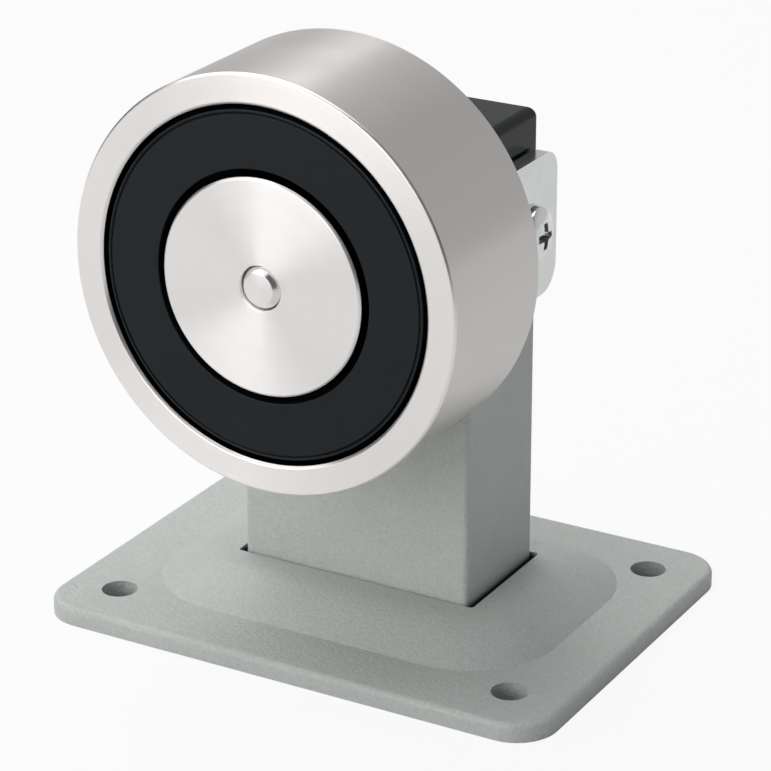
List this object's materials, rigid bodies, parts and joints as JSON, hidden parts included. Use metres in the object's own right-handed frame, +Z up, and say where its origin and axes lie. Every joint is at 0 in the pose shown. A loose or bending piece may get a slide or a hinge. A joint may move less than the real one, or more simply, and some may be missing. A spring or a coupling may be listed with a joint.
{
  "type": "electromagnetic door holder",
  "caption": "Floor-mounted electromagnetic door holder: a round pot magnet with a sprung release pin, tilting in a folded bracket on a column welded to a screw-down base plate.",
  "frame": {"origin": "centre of the rectangle of floor screw holes, on the underside of the base plate", "axes": "+Z up, the holding face looks along -Y, +X along the pivot axis"},
  "size_m": [0.09, 0.071, 0.098],
  "materials": {
    "powder_coat": "fine-textured powder coat, light grey",
    "raw_steel": "bare weld",
    "zinc": "bright zinc plate",
    "screw_steel": "bright zinc-plated screw",
    "nickel": "fine-turned, nickel-plated steel",
    "face_steel": "faced and lapped steel",
    "black_resin": "black cast resin, semi-gloss",
    "black_plastic": "black moulded plastic, semi-gloss",
    "bobbin_plastic": "natural nylon",
    "copper": "enamelled copper wire",
    "rubber": "black rubber",
    "spring_steel": "spring wire",
    "terminal_plastic": "off-white moulded plastic",
    "brass": "turned brass",
    "washer_plastic": "natural nylon"
  },
  "bodies": {
    "stand": {"base_plate": "powder_coat", "foot_weld": "raw_steel", "column": "powder_coat", "terminal_cover": "black_plastic", "cover_screw": "screw_steel", "terminal_block": "terminal_plastic", "terminal_clamps": "brass", "terminal_screws": "screw_steel", "block_screw": "screw_steel", "pivot_screws": "screw_steel", "pivot_washers": "zinc", "pivot_nuts": "zinc"},
    "head": {"friction_washers": "washer_plastic", "swivel_bracket": "zinc", "bracket_screws": "screw_steel", "magnet_pot": "nickel", "pole_core": "face_steel", "coil_bobbin": "bobbin_plastic", "coil_winding": "copper", "face_ring": "black_resin", "lead_bush": "rubber", "release_spring": "spring_steel", "spring_plug": "zinc"},
    "pin": {"release_pin": "face_steel"}
  },
  "joints": [
    {"name": "head_tilt", "type": "hinge", "parent": "stand", "child": "head", "pos_m": [0, 0.0037, 0.0655], "axis": [-1, 0, 0], "range_deg": [0, 15]},
    {"name": "pin_press", "type": "slide", "parent": "head", "child": "pin", "axis": [0, 1, 0], "range_m": [0, 0.0005], "stiffness_N_per_m": 1500, "springref_m": -0.002, "deforming": ["release_spring"]}
  ]
}
